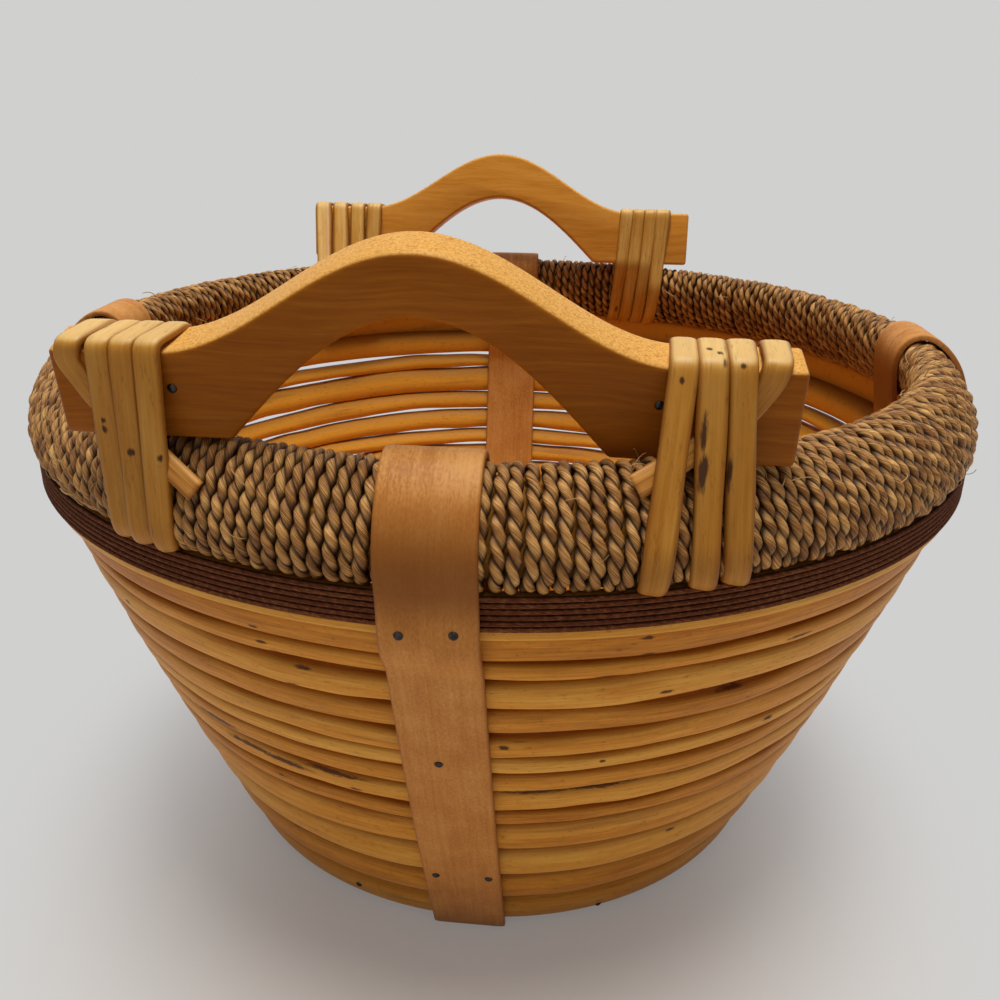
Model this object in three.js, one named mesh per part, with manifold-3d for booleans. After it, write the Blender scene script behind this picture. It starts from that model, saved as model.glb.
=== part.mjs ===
// A round gathering basket: bent willow rods between nailed straps, a rope-wound rim and two lashed handles.
// Millimetres, +Z up. The origin is on the floor under the middle, and the front handle is towards -Y.
import * as THREE from "three";
import { mergeVertices } from "three/addons/utils/BufferGeometryUtils.js";
import Module from "manifold-3d";

// Clearances
const seatGap = 0.3; // between pieces that rest on each other
const holeGap = 0.3; // round a nail's shank
const turnGap = 0.6; // between neighbouring turns of a winding

// Wall: rods from the floor up, each one's height, with light between them
const baseRadius = 126.5;
const wallFlare = 67.6; // how much wider the wall is at its top than at the floor
const wallBulge = 3; // how far the wall swells outwards half way up
const rodDepth = 9.5;
const rodHeights = [19.5, 17.1, 17.5, 15.7, 7.4, 10.6, 8.7, 7.1, 9.8, 9.3, 11.9, 6.5, 9.6];
const rodGap = 2;
const ringSides = 36; // straight facets in every hoop

// Base board
const boardThickness = 9;

// Top hoop and the cord wound round it
const hoopProud = 2.4; // how far the hoop stands out past the top rod
const hoopThickness = 6;
const hoopHeight = 12.8;
const bareHoop = 4; // strip of hoop left bare under the cord, where the nails go
const bevelGap = 0.7; // between the hoop's bevelled top and the lashings
const cordRounds = 6;
const cordDepth = 1.6;
const cordGap = 0.45;

// Rim: an oval core that leans in over the basket, with rope wound over it
const rimInset = 10.5; // from the hoop's outside in to the middle of the rim
const rimLean = 31;
const coreHalfHeight = 14.6; // along the lean
const coreHalfWidth = 6.9;
const ropeDepth = 4.4;
const ropeLengths = 4;
const turnsPerLength = 24;
const stepsPerTurn = 8;

// Straps
const strapWidth = 32;
const strapThickness = 2;
const strapAngles = { front: -92, right: 0, back: 92, left: 180 };
const strapFootGap = 0.5; // above the floor and above the base board
const strapJoinHeight = 12; // below the top of the rods, where the outer leg starts to bend out

// Handles
const handleLength = 220;
const handleThickness = 15;
const handleEndHeight = 29;
const handleRise = 31; // of the arch above the ends
const archHalfWidth = 76;
const gripHalfWidth = 56;
const gripHeight = 40.5;
const handleLean = 9.2;
const handleInset = 24; // from the middle of the rim in to the middle of the board
const handleOffset = -14; // both boards were set a little to one side
const edgeSteps = 14;

// Lashings of split willow
const stripWidth = 8.2;
const stripThickness = 2;
const lashTurns = 4;
const lashInset = 35.5; // from the board's end in to the first turn
const lashSides = 16;

// Nails
const headRadius = 1.8;
const headHeight = 0.8;
const shankRadius = 0.8;
const shankLength = 7.2;
const boardBite = 8; // how far a base nail goes into the base board
const nailSides = 6;
const topNailInset = 8; // from the strap's edge in to a nail
const lowNailInset = 5;
const middleNailRod = 7; // counted from the floor, starting at 0
const middleNailRise = 1.5; // above the middle of its rod
const lowNailRod = 2;
const lowNailDrop = 6; // below the middle of its rod
const handleNailHeight = 16;
const baseNailTurn = 22.5; // from the front and the back strap round to the nails in the base

// Finishes
const willow = { color: 0xd9a04e, roughness: 0.55, metalness: 0 };
const strapWood = { color: 0xa8682f, roughness: 0.5, metalness: 0 };
const handleWood = { color: 0xb0702c, roughness: 0.45, metalness: 0 };
const splitWillow = { color: 0xdcb878, roughness: 0.5, metalness: 0 };
const seagrass = { color: 0x8a6b3c, roughness: 0.8, metalness: 0 };
const darkCord = { color: 0x4a2a18, roughness: 0.85, metalness: 0 };
const paleBoard = { color: 0xc79a5c, roughness: 0.65, metalness: 0 };
const nailSteel = { color: 0x2b2826, roughness: 0.45, metalness: 0.8 };

// Places worked out from the sizes
const wallHeight = rodHeights.reduce((sum, height) => sum + height + rodGap, 0);
const hoopRadius = baseRadius + wallFlare + hoopProud;
const hoopBottom = wallHeight - rodGap + seatGap;
const rimRadius = hoopRadius - rimInset;
const rimTilt = THREE.MathUtils.degToRad(rimLean);
const ropeReach = seatGap + ropeDepth;
const rimHalfHeight = coreHalfHeight + ropeReach;
const rimHalfWidth = coreHalfWidth + ropeReach;
const stripFlat = Math.cos(Math.PI / lashSides);
const rimToHoop = rimHalfHeight + (seatGap + stripThickness) / stripFlat + bevelGap;
const rimHeight = hoopBottom + hoopHeight + (rimToHoop - rimInset * Math.sin(rimTilt)) / Math.cos(rimTilt);
const rimTop = rimHeight + Math.hypot(rimHalfWidth * Math.sin(rimTilt), rimHalfHeight * Math.cos(rimTilt));
const cordInside = hoopRadius + seatGap;
const bandRadius = cordInside + cordDepth;
const bandBottom = hoopBottom + bareHoop;
const bandTop = hoopBottom + hoopHeight;
const cordPitch = (bandTop - bandBottom + cordGap) / (cordRounds + 1);
const baseShankLength = rodDepth + seatGap + boardBite;
const lean = THREE.MathUtils.degToRad(handleLean);
const handleY = rimRadius - handleInset;
const handleBase = rimTop + seatGap + (handleThickness / 2) * Math.sin(lean);
const stripPitch = stripWidth + turnGap;
const firstTurn = handleLength / 2 - lashInset;
const handleNailPlace = firstTurn - stripWidth / 2 - headRadius - seatGap;
const facetFlat = Math.cos(Math.PI / ringSides);
const ropeTurns = ropeLengths * turnsPerLength;

const wasm = await Module();
wasm.setup();

const basket = new THREE.Group();

function addPiece(name, geometry, finish, parent = basket) {
  const mesh = new THREE.Mesh(geometry, new THREE.MeshStandardMaterial(finish));
  mesh.name = name;
  parent.add(mesh);
  return mesh;
}

// Outside radius of the wall at a height above the floor
function wallRadius(z) {
  const share = z / wallHeight;
  return baseRadius + wallFlare * share + 4 * wallBulge * share * (1 - share);
}

// Slope of the wall there, outwards for each millimetre up
function wallSlope(z) {
  return (wallFlare + 4 * wallBulge * (1 - (2 * z) / wallHeight)) / wallHeight;
}

// A point on an oval at a distance out from the rim's core, as radius and height
function rimPoint(turn, distance, centre = rimRadius, spread = 1) {
  const across = spread * (coreHalfWidth + distance) * Math.cos(turn);
  const along = spread * (coreHalfHeight + distance) * Math.sin(turn);
  return [
    centre + across * Math.cos(rimTilt) - along * Math.sin(rimTilt),
    rimHeight + across * Math.sin(rimTilt) + along * Math.cos(rimTilt),
  ];
}

// How far that oval reaches in and out from its middle
function rimExtent(distance) {
  const across = (coreHalfWidth + distance) * Math.cos(rimTilt);
  const along = (coreHalfHeight + distance) * Math.sin(rimTilt);
  return Math.hypot(across, along);
}

// A profile of radius and height turned round the Z axis
function turned(profile, sides) {
  const points = profile.map(([radius, height]) => new THREE.Vector2(radius, height));
  return new THREE.LatheGeometry(points, sides).rotateX(Math.PI / 2);
}

function closed(profile) {
  return [...profile, profile[0]];
}

// Boolean work on closed meshes
function solidOf(geometry) {
  const bare = geometry.clone();
  bare.deleteAttribute("normal");
  bare.deleteAttribute("uv");
  const merged = mergeVertices(bare, 1e-4);
  return new wasm.Manifold(
    new wasm.Mesh({
      numProp: 3,
      vertProperties: merged.attributes.position.array,
      triVerts: new Uint32Array(merged.index.array),
    }),
  );
}

function geometryOf(solid) {
  const mesh = solid.getMesh();
  const geometry = new THREE.BufferGeometry();
  geometry.setAttribute("position", new THREE.BufferAttribute(mesh.vertProperties, 3));
  geometry.setIndex(new THREE.BufferAttribute(mesh.triVerts, 1));
  return geometry;
}

function drilled(geometry, drills) {
  let solid = solidOf(geometry);
  for (const drill of drills) {
    solid = solid.subtract(solidOf(drill));
  }
  return geometryOf(solid);
}

// A tube through a list of rings of points, with both ends closed and its faces turned outwards
function tubeThrough(rings) {
  const sides = rings[0].length;
  const corners = rings.flat();
  const faces = [];
  for (let ring = 0; ring + 1 < rings.length; ring++) {
    for (let side = 0; side < sides; side++) {
      const a = ring * sides + side;
      const b = ring * sides + ((side + 1) % sides);
      faces.push([a, b, b + sides], [a, b + sides, a + sides]);
    }
  }
  const last = (rings.length - 1) * sides;
  for (let side = 1; side + 1 < sides; side++) {
    faces.push([0, side + 1, side], [last, last + side, last + side + 1]);
  }
  const volume = faces.reduce((sum, [a, b, c]) => {
    const normal = new THREE.Vector3().crossVectors(corners[b], corners[c]);
    return sum + corners[a].dot(normal);
  }, 0);
  const outward = volume > 0 ? faces : faces.map(([a, b, c]) => [a, c, b]);
  const geometry = new THREE.BufferGeometry().setFromPoints(corners);
  geometry.setIndex(outward.flat());
  geometry.computeVertexNormals();
  return geometry;
}

// Least distance between one turn of a winding and the next, measured on points along its edges
function leastGap(rings, stepsInTurn) {
  const parts = 4;
  const along = (ring, side, part) => {
    const next = rings[Math.min(ring + 1, rings.length - 1)];
    return new THREE.Vector3().lerpVectors(rings[ring][side], next[side], part / parts);
  };
  const sides = rings[0].length;
  const points = rings.map((corners, ring) => {
    const found = [];
    for (let side = 0; side < sides; side++) {
      for (let part = 0; part < parts; part++) {
        found.push(along(ring, side, part));
      }
    }
    return found;
  });
  let least = Infinity;
  for (let ring = 0; ring < rings.length; ring++) {
    for (let other = ring + stepsInTurn - 2; other <= ring + stepsInTurn + 2; other++) {
      if (other >= rings.length) continue;
      for (const a of points[ring]) {
        for (const b of points[other]) {
          least = Math.min(least, a.distanceTo(b));
        }
      }
    }
  }
  return least;
}

function reportGap(name, rings, stepsInTurn) {
  console.log(name + ": least gap between turns " + leastGap(rings, stepsInTurn).toFixed(2) + " mm");
}

// A nail that points along -X from the underside of its head at the origin
function nailGeometry(length = shankLength) {
  const profile = [
    [0, -length],
    [shankRadius, -length],
    [shankRadius, 0],
    [headRadius, 0],
    [headRadius, headHeight],
    [0, headHeight],
  ];
  return turned(profile, nailSides).rotateY(Math.PI / 2);
}

// The hole for that nail, open at the head's side
function drillGeometry(length = shankLength) {
  const radius = shankRadius + holeGap;
  const end = -length - holeGap;
  const profile = [
    [0, end],
    [radius, end],
    [radius, headHeight],
    [0, headHeight],
  ];
  return turned(profile, nailSides).rotateY(Math.PI / 2);
}

// Where a strap nail's head sits: radius and height on the strap's outside, tilt with the wall, side offset
function strapNails() {
  const levels = rodLevels();
  const onWall = (rod, rise, side) => {
    const z = levels[rod] + rise;
    const tilt = Math.atan(wallSlope(z));
    const out = seatGap + strapThickness + seatGap;
    return { radius: wallRadius(z) + out * Math.cos(tilt), z: z - out * Math.sin(tilt), tilt, side };
  };
  const onHoop = (side) => ({
    radius: bandRadius + seatGap + strapThickness + seatGap,
    z: hoopBottom + bareHoop / 2,
    tilt: 0,
    side,
  });
  const topSide = strapWidth / 2 - topNailInset;
  const lowSide = strapWidth / 2 - lowNailInset;
  return [
    onHoop(-topSide),
    onHoop(topSide),
    onWall(middleNailRod, middleNailRise, 0),
    onWall(lowNailRod, -lowNailDrop, -lowSide),
    onWall(lowNailRod, -lowNailDrop, lowSide),
  ];
}

function placedNail(geometry, { radius, z, tilt, side }, angle) {
  return geometry
    .rotateY(tilt)
    .translate(radius, side, z)
    .rotateZ(THREE.MathUtils.degToRad(angle));
}

// Middle height of each rod
function rodLevels() {
  let floor = 0;
  return rodHeights.map((height) => {
    const middle = floor + height / 2;
    floor += height + rodGap;
    return middle;
  });
}

function baseNailAngles() {
  const { front, back } = strapAngles;
  return [front - baseNailTurn, front + baseNailTurn, back - baseNailTurn, back + baseNailTurn];
}

function baseNailPlace() {
  const z = rodLevels()[0];
  return { radius: wallRadius(z) + seatGap, z, tilt: 0, side: 0 };
}

function baseDrills() {
  return baseNailAngles().map((angle) => {
    return placedNail(drillGeometry(baseShankLength), baseNailPlace(), angle);
  });
}

// Round board inside the lowest rod
function makeBaseBoard() {
  const middle = rodLevels()[0];
  const inward = wallSlope(middle) * (boardThickness / 2) - (rodDepth / 4) * (boardThickness / rodHeights[0]);
  const radius = wallRadius(middle) - rodDepth - inward - seatGap;
  const profile = [
    [0, middle - boardThickness / 2],
    [radius, middle - boardThickness / 2],
    [radius, middle + boardThickness / 2],
    [0, middle + boardThickness / 2],
  ];
  addPiece("base_board", drilled(turned(profile, ringSides), baseDrills()), paleBoard);
}

// A bent rod: six-sided, flat above and below, following the slope of the wall
function rodGeometry(middle, height) {
  const radius = wallRadius(middle) - rodDepth / 2;
  const shear = (wallSlope(middle) * height) / 2;
  const half = height / 2;
  const quarter = rodDepth / 4;
  const profile = [
    [radius - quarter - shear, middle - half],
    [radius + quarter - shear, middle - half],
    [radius + rodDepth / 2, middle],
    [radius + quarter + shear, middle + half],
    [radius - quarter + shear, middle + half],
    [radius - rodDepth / 2, middle],
  ];
  return turned(closed(profile), ringSides);
}

function makeRods() {
  const nails = strapNails();
  const angles = Object.values(strapAngles);
  const drillsFor = (places) =>
    places.flatMap((place) => angles.map((angle) => placedNail(drillGeometry(), place, angle)));
  rodLevels().forEach((middle, index) => {
    let geometry = rodGeometry(middle, rodHeights[index]);
    if (index === middleNailRod) {
      geometry = drilled(geometry, drillsFor([nails[2]]));
    }
    if (index === lowNailRod) {
      geometry = drilled(geometry, drillsFor([nails[3], nails[4]]));
    }
    if (index === 0) {
      geometry = drilled(geometry, baseDrills());
    }
    addPiece("wall_rod_" + String(index + 1).padStart(2, "0"), geometry, willow);
  });
}

// Flat hoop on the top rod, its upper edge bevelled to the lean of the rim that stands on it
function makeTopHoop() {
  const inner = hoopRadius - hoopThickness;
  const innerTop = hoopBottom + hoopHeight - hoopThickness * Math.tan(rimTilt);
  const profile = [
    [inner, hoopBottom],
    [hoopRadius, hoopBottom],
    [hoopRadius, hoopBottom + hoopHeight],
    [inner, innerTop],
  ];
  const nails = strapNails().slice(0, 2);
  const drills = nails.flatMap((place) =>
    Object.values(strapAngles).map((angle) => placedNail(drillGeometry(), place, angle)),
  );
  addPiece("top_hoop", drilled(turned(closed(profile), ringSides), drills), willow);
}

// Dark cord wound round the hoop as one climbing length
function makeCordBand() {
  const half = (cordPitch - cordGap) / 2;
  const steps = cordRounds * ringSides;
  const rings = [];
  for (let step = 0; step <= steps; step++) {
    const angle = (2 * Math.PI * step) / ringSides - Math.PI / 2;
    const z = bandBottom + half + (cordPitch * step) / ringSides;
    const at = (radius, height) =>
      new THREE.Vector3(radius * Math.cos(angle), radius * Math.sin(angle), height);
    rings.push([at(cordInside, z - half), at(bandRadius, z), at(cordInside, z + half)]);
  }
  reportGap("cord_band", rings, ringSides);
  addPiece("cord_band", tubeThrough(rings), darkCord);
}

// Oval core of the rim
function makeRimCore() {
  const profile = [];
  for (let step = 0; step < stepsPerTurn; step++) {
    profile.push(rimPoint((2 * Math.PI * step) / stepsPerTurn, 0));
  }
  addPiece("rim_core", turned(closed(profile), ropeTurns), willow);
}

// Rope wound over the core in lengths that butt under the straps
function makeRimRope() {
  const innerPitch = (2 * Math.PI * (rimRadius - rimExtent(seatGap))) / ropeTurns;
  const half = (innerPitch - turnGap) / 2;
  const endCut = 0.04; // share of a step left open where two lengths meet
  for (let length = 0; length < ropeLengths; length++) {
    const rings = [];
    const steps = turnsPerLength * stepsPerTurn;
    for (let step = 0; step <= steps; step++) {
      const cut = step === 0 ? endCut : step === steps ? -endCut : 0;
      const turn = (step + cut) / stepsPerTurn;
      const around = THREE.MathUtils.degToRad(strapAngles.front)
        + (2 * Math.PI * (length * turnsPerLength + turn)) / ropeTurns;
      const tube = 2 * Math.PI * turn - Math.PI / 2;
      const at = (distance, sideways) => {
        const [radius, height] = rimPoint(tube, distance);
        const angle = around + sideways / radius;
        return new THREE.Vector3(radius * Math.cos(angle), radius * Math.sin(angle), height);
      };
      rings.push([at(seatGap, -half), at(ropeReach, 0), at(seatGap, half)]);
    }
    const name = "rim_rope_" + (length + 1);
    reportGap(name, rings, stepsPerTurn);
    addPiece(name, tubeThrough(rings), seagrass);
  }
}

// The line that a strap's inner face follows, as radius and height: up the wall, over the rim, down inside
function strapPath() {
  const across = (radius) => radius - Math.sqrt(radius ** 2 - (strapWidth / 2) ** 2);
  const path = [];
  const legTop = wallHeight - strapJoinHeight;
  const legSteps = 6;
  for (let step = 0; step <= legSteps; step++) {
    const z = strapFootGap + ((legTop - strapFootGap) * step) / legSteps;
    path.push([wallRadius(z) + seatGap, z]);
  }
  const bandSeat = bandRadius + seatGap;
  path.push([bandSeat, hoopBottom + seatGap], [bandSeat, bandTop]);
  const arcStep = 15;
  const spread = 1 / Math.cos(THREE.MathUtils.degToRad(arcStep / 2));
  const reach = ropeReach + seatGap;
  const halfWidth = spread * (coreHalfWidth + reach);
  const halfHeight = spread * (coreHalfHeight + reach);
  const tangent = (centre, [radius, z], turn) => {
    const out = radius - centre;
    const up = z - rimHeight;
    const aside = (out * Math.cos(rimTilt) + up * Math.sin(rimTilt)) / halfWidth;
    const along = (up * Math.cos(rimTilt) - out * Math.sin(rimTilt)) / halfHeight;
    return Math.atan2(along, aside) + turn * Math.acos(1 / Math.hypot(along, aside));
  };
  const topTurn = Math.atan2(halfHeight * Math.cos(rimTilt), halfWidth * Math.sin(rimTilt));
  const innerCentre = rimRadius - across(rimRadius - rimExtent(ropeReach));
  const innerSeat = (z) => {
    const radius = (wallRadius(z) - rodDepth) * facetFlat;
    return radius - across(radius) - seatGap;
  };
  const start = tangent(rimRadius, [bandSeat, bandTop], 1);
  const end = tangent(innerCentre, [innerSeat(legTop), legTop], -1) + 2 * Math.PI;
  const arcSteps = Math.ceil((end - start) / THREE.MathUtils.degToRad(arcStep));
  for (let step = 0; step <= arcSteps; step++) {
    const turn = start + ((end - start) * step) / arcSteps;
    path.push(rimPoint(turn, reach, turn < topTurn ? rimRadius : innerCentre, spread));
  }
  const foot = rodLevels()[0] + boardThickness / 2 + strapFootGap;
  for (let step = 0; step <= legSteps; step++) {
    const z = legTop + ((foot - legTop) * step) / legSteps;
    path.push([innerSeat(z), z]);
  }
  return path;
}

// The same line moved sideways by the strap's thickness, with both ends cut level
function movedOut(path, distance) {
  return path.map(([radius, z], index) => {
    const before = path[Math.max(index - 1, 0)];
    const after = path[Math.min(index + 1, path.length - 1)];
    const here = new THREE.Vector2(radius, z);
    const into = here.clone().sub(new THREE.Vector2(...before)).normalize();
    const out = new THREE.Vector2(...after).sub(here).normalize();
    const along = into.clone().add(out).normalize();
    if (index === 0 || index === path.length - 1) {
      return [radius + distance / along.y, z];
    }
    const bend = along.dot(out);
    return [radius + (along.y * distance) / bend, z - (along.x * distance) / bend];
  });
}

function makeStraps() {
  const inside = strapPath();
  const outline = [...inside, ...movedOut(inside, strapThickness).reverse()];
  const shape = new THREE.Shape(outline.map(([radius, z]) => new THREE.Vector2(radius, z)));
  const blank = new THREE.ExtrudeGeometry(shape, { depth: strapWidth, bevelEnabled: false });
  blank.translate(0, 0, -strapWidth / 2);
  blank.rotateX(Math.PI / 2);
  const places = strapNails();
  const strap = drilled(blank, places.map((place) => placedNail(drillGeometry(), place, 0)));
  const nailNames = ["top_a", "top_b", "middle", "low_a", "low_b"];
  for (const [side, angle] of Object.entries(strapAngles)) {
    const group = new THREE.Group();
    group.rotation.z = THREE.MathUtils.degToRad(angle);
    basket.add(group);
    addPiece("strap_" + side, strap, strapWood, group);
    places.forEach((place, index) => {
      const nail = placedNail(nailGeometry(), place, 0);
      addPiece("nail_" + side + "_" + nailNames[index], nail, nailSteel, group);
    });
  }
}

function makeBaseNails() {
  const names = ["front_left", "front_right", "back_right", "back_left"];
  baseNailAngles().forEach((angle, index) => {
    const nail = placedNail(nailGeometry(baseShankLength), baseNailPlace(), angle);
    addPiece("nail_base_" + names[index], nail, nailSteel);
  });
}

// Sawn outline of a handle: straight ends, a bell-shaped arch and a cosine hand hole open below
function handleShape() {
  const half = handleLength / 2;
  const shape = new THREE.Shape();
  shape.moveTo(-half, 0);
  shape.lineTo(-gripHalfWidth, 0);
  for (let step = 1; step < edgeSteps; step++) {
    const along = -gripHalfWidth + (2 * gripHalfWidth * step) / edgeSteps;
    shape.lineTo(along, gripHeight * Math.cos((Math.PI * along) / (2 * gripHalfWidth)));
  }
  shape.lineTo(gripHalfWidth, 0);
  shape.lineTo(half, 0);
  shape.lineTo(half, handleEndHeight);
  for (let step = 0; step <= edgeSteps; step++) {
    const along = archHalfWidth - (2 * archHalfWidth * step) / edgeSteps;
    const share = Math.cos((Math.PI * along) / (2 * archHalfWidth)) ** 2;
    shape.lineTo(along, handleEndHeight + handleRise * share);
  }
  shape.lineTo(-half, handleEndHeight);
  return shape;
}

// A nail for a handle, in the board's own frame: its head on the outer face
function handleNail(geometry, side) {
  return geometry
    .rotateY(-Math.PI / 2)
    .translate(side * handleNailPlace, handleNailHeight, handleThickness / 2 + seatGap);
}

// A handle stands on the rim in a group that turns it to its side and leans it outwards
function makeHandle(name, turn) {
  const facing = new THREE.Group();
  facing.rotation.z = turn;
  basket.add(facing);
  const leaning = new THREE.Group();
  leaning.position.set(handleOffset * Math.cos(turn), -handleY, handleBase);
  leaning.rotation.x = Math.PI / 2 + lean;
  facing.add(leaning);
  const board = new THREE.ExtrudeGeometry(handleShape(), { depth: handleThickness, bevelEnabled: false });
  board.translate(0, 0, -handleThickness / 2);
  const drills = [-1, 1].map((side) => handleNail(drillGeometry(), side));
  addPiece("handle_" + name, drilled(board, drills), handleWood, leaning);
  addPiece("nail_handle_" + name + "_a", handleNail(nailGeometry(), -1), nailSteel, leaning);
  addPiece("nail_handle_" + name + "_b", handleNail(nailGeometry(), 1), nailSteel, leaning);
}

// Corners of a handle's end and points of the rim, cut by an upright plane across the board
function lashedPoints(x) {
  const points = [];
  for (const up of [0, handleEndHeight]) {
    for (const out of [-handleThickness / 2, handleThickness / 2]) {
      const y = handleY + up * Math.sin(lean) + out * Math.cos(lean);
      points.push([y, handleBase + up * Math.cos(lean) - out * Math.sin(lean)]);
    }
  }
  const rimPoints = 48;
  for (let point = 0; point < rimPoints; point++) {
    const [radius, height] = rimPoint((2 * Math.PI * point) / rimPoints, ropeReach);
    points.push([Math.sqrt(radius ** 2 - x ** 2), height]);
  }
  return points;
}

// One corner of the tight many-sided loop that goes round those points at a set distance
function loopCorner(x, side, distance) {
  const points = lashedPoints(x);
  const lineAt = (index) => {
    const angle = (2 * Math.PI * index) / lashSides - Math.PI / 2;
    const normal = [Math.cos(angle), Math.sin(angle)];
    const reach = Math.max(...points.map(([y, z]) => y * normal[0] + z * normal[1]));
    return { normal, reach: reach + distance };
  };
  const a = lineAt(side);
  const b = lineAt(side + 1);
  const cross = a.normal[0] * b.normal[1] - a.normal[1] * b.normal[0];
  const y = (a.reach * b.normal[1] - b.reach * a.normal[1]) / cross;
  const z = (a.normal[0] * b.reach - b.normal[0] * a.reach) / cross;
  return [y, z];
}

// How far round the loop each corner lies, as a share of the whole way
function loopShares(x) {
  const lengths = [0];
  for (let side = 0; side < lashSides; side++) {
    const here = new THREE.Vector2(...loopCorner(x, side, stripThickness));
    const next = new THREE.Vector2(...loopCorner(x, side + 1, stripThickness));
    lengths.push(lengths[side] + here.distanceTo(next));
  }
  return lengths.map((length) => length / lengths[lashSides]);
}

// Split willow wound round a handle's end and the rim as one flat strip
function makeLashing(name, facing, end) {
  const rings = [];
  const placeOf = (turn) => handleOffset + end * (firstTurn + stripPitch * turn);
  for (let step = 0; step <= lashTurns * lashSides; step++) {
    const whole = Math.floor(step / lashSides);
    const middle = placeOf(whole + loopShares(placeOf(whole))[step % lashSides]);
    const at = (sideways, distance) => {
      const x = middle + sideways;
      const [y, z] = loopCorner(x, step % lashSides, distance);
      return new THREE.Vector3(x, facing * y, z);
    };
    const half = stripWidth / 2;
    const outside = seatGap + stripThickness;
    rings.push([at(-half, seatGap), at(half, seatGap), at(half, outside), at(-half, outside)]);
  }
  reportGap(name, rings, lashSides);
  addPiece(name, tubeThrough(rings), splitWillow);
}

makeBaseBoard();
makeRods();
makeTopHoop();
makeCordBand();
makeRimCore();
makeRimRope();
makeStraps();
makeBaseNails();
makeHandle("front", 0);
makeHandle("rear", Math.PI);
makeLashing("lashing_front_right", -1, 1);
makeLashing("lashing_front_left", -1, -1);
makeLashing("lashing_rear_right", 1, 1);
makeLashing("lashing_rear_left", 1, -1);

export default basket;
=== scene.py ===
import math

import bmesh
import bpy
import numpy as np
from mathutils import Matrix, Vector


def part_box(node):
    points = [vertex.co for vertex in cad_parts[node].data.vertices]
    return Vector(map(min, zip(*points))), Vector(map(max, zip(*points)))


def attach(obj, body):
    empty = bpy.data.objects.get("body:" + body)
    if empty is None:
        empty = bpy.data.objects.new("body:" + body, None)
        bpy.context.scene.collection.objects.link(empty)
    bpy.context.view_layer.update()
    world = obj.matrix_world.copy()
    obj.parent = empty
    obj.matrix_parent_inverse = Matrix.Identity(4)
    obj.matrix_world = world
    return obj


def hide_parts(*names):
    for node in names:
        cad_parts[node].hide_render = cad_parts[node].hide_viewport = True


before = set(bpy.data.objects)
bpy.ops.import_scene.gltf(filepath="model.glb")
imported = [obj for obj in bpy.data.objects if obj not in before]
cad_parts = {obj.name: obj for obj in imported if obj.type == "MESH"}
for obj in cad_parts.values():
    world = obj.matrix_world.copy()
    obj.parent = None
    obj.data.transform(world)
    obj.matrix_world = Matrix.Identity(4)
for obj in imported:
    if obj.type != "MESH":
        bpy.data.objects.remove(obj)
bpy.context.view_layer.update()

mm = 0.001

# Base board
# A round board of plain wood lies inside the lowest rod. It is sawn from one plank with its grain
# running across the basket, and small nails through the rod hold it.


class Field:
    """A value that nodes work out at every point. Arithmetic on it adds the nodes it needs."""

    def __init__(self, tree, socket):
        self.tree = tree
        self.socket = socket

    def __add__(self, other):
        return calc("ADD", self, other)

    def __sub__(self, other):
        return calc("SUBTRACT", self, other)

    def __rsub__(self, other):
        return calc("SUBTRACT", other, self)

    def __mul__(self, other):
        return calc("MULTIPLY", self, other)

    def __truediv__(self, other):
        return calc("DIVIDE", self, other)

    def into(self, socket):
        self.tree.links.new(self.socket, socket)


def step(tree, kind, values=(), **settings):
    """One new node of a tree, with its sockets set or linked in order or by name."""
    node = tree.nodes.new(kind)
    for name, value in settings.items():
        setattr(node, name, value)
    pairs = values.items() if isinstance(values, dict) else enumerate(values)
    for key, value in pairs:
        if isinstance(value, Field):
            value.into(node.inputs[key])
        elif value is not None:
            node.inputs[key].default_value = value
    return node


def field(tree, kind, values=(), output=0, **settings):
    """What one new node works out."""
    return Field(tree, step(tree, kind, values, **settings).outputs[output])


def tree_of(values):
    return next(value.tree for value in values if isinstance(value, Field))


def calc(operation, *values):
    return field(tree_of(values), "ShaderNodeMath", values, operation=operation)


def triple(*values):
    return field(tree_of(values), "ShaderNodeCombineXYZ", values)


def split(vector):
    parts = step(vector.tree, "ShaderNodeSeparateXYZ", [vector]).outputs
    return [Field(vector.tree, part) for part in parts]


def coordinates(tree, kind="Object"):
    return field(tree, "ShaderNodeTexCoord", output=kind)


def finish_of(name, roughness, specular=0.5, metallic=0.0):
    """A new material: its tree and its main shader, ready for colour and bump."""
    material = bpy.data.materials.new(name)
    material.use_nodes = True
    tree = material.node_tree
    shader = tree.nodes["Principled BSDF"]
    shader.inputs["Roughness"].default_value = roughness
    shader.inputs["Specular IOR Level"].default_value = specular
    shader.inputs["Metallic"].default_value = metallic
    return material, tree, shader


def speckle(vector, scale, detail=3.0, roughness=0.55, distortion=0.0, output="Fac"):
    """Soft noise between 0 and 1."""
    values = {"Vector": vector, "Scale": scale, "Detail": detail, "Roughness": roughness,
              "Distortion": distortion}
    return field(vector.tree, "ShaderNodeTexNoise", values, output)


def ramp(factor, *stops):
    """A colour ramp from stops of place and colour."""
    node = step(factor.tree, "ShaderNodeValToRGB", [factor])
    points = node.color_ramp.elements
    while len(points) < len(stops):
        points.new(0.5)
    for point, (place, colour) in zip(points, stops):
        point.position = place
        point.color = (*colour, 1.0)
    return Field(factor.tree, node.outputs[0])


def fade(value, low, high):
    """0 at low, 1 at high and smooth between."""
    values = {"Value": value, "From Min": low, "From Max": high}
    return field(value.tree, "ShaderNodeMapRange", values, "Result", interpolation_type="SMOOTHSTEP")


def mixed(share, first, second):
    """A share of the second colour over the first."""
    values = {0: share}
    for key, colour in ((6, first), (7, second)):
        values[key] = colour if isinstance(colour, Field) else (*colour, 1.0)
    return field(share.tree, "ShaderNodeMix", values, 2, data_type="RGBA")


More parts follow.
